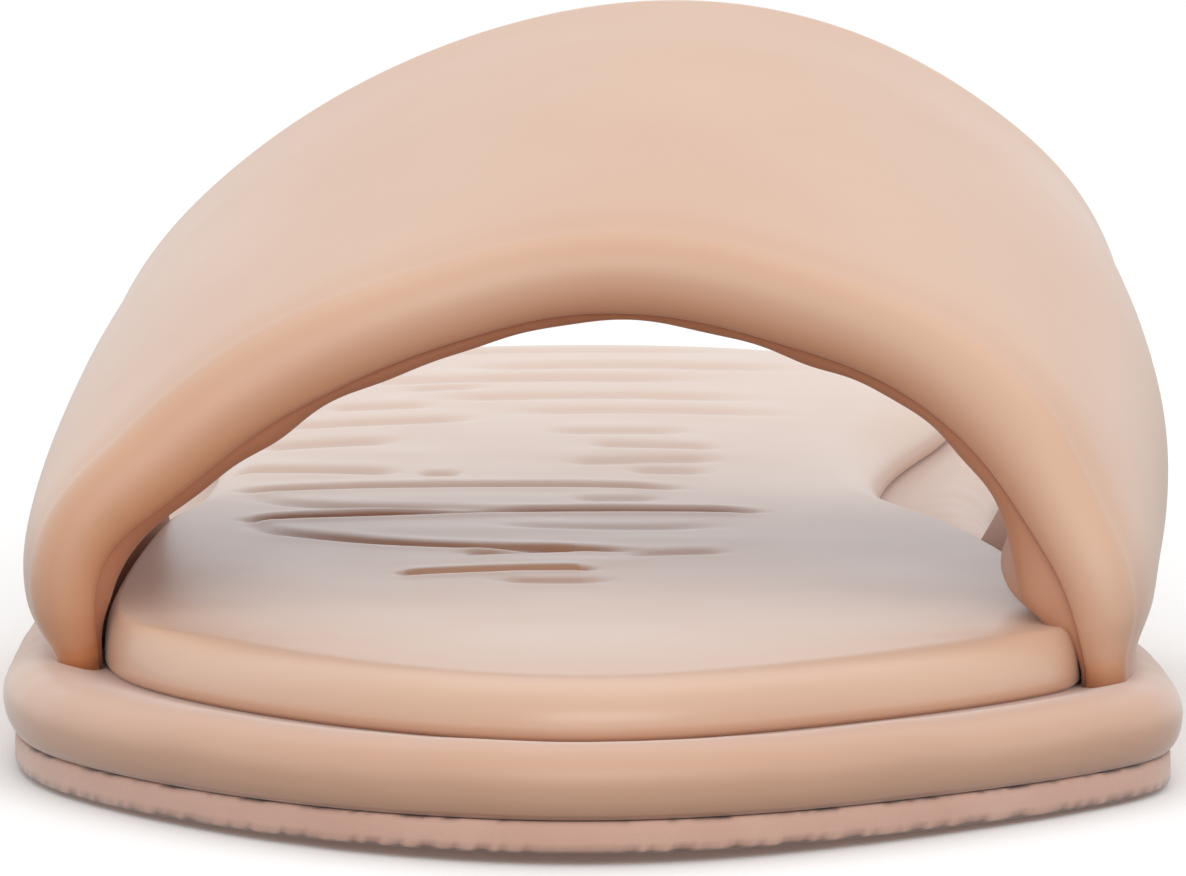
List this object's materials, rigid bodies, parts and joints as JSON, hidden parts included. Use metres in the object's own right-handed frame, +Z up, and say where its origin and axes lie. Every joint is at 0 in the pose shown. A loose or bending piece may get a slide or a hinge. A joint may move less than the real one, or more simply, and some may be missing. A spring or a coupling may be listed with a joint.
{
  "type": "slide sandal",
  "caption": "Right slide sandal: flat rubber outsole, leather-wrapped midsole, padded footbed set in from its edge, and one wide padded strap arched over the forefoot.",
  "frame": {"origin": "on the floor, under the middle of the sandal's bounding box", "axes": "+Z up from the floor, -Y towards the toe, +Y towards the heel, +X towards the inner (medial) side of the foot"},
  "size_m": [0.0998, 0.255, 0.0579],
  "materials": {
    "outsole_rubber": "matte, slightly rough at the edge",
    "midsole_leather": "smooth, satin",
    "footbed_leather": "smooth, soft satin, creased",
    "strap_leather": "smooth, satin, padded"
  },
  "bodies": {
    "root": {"outsole": "outsole_rubber", "midsole": "midsole_leather", "footbed": "footbed_leather", "strap": "strap_leather"}
  },
  "joints": []
}
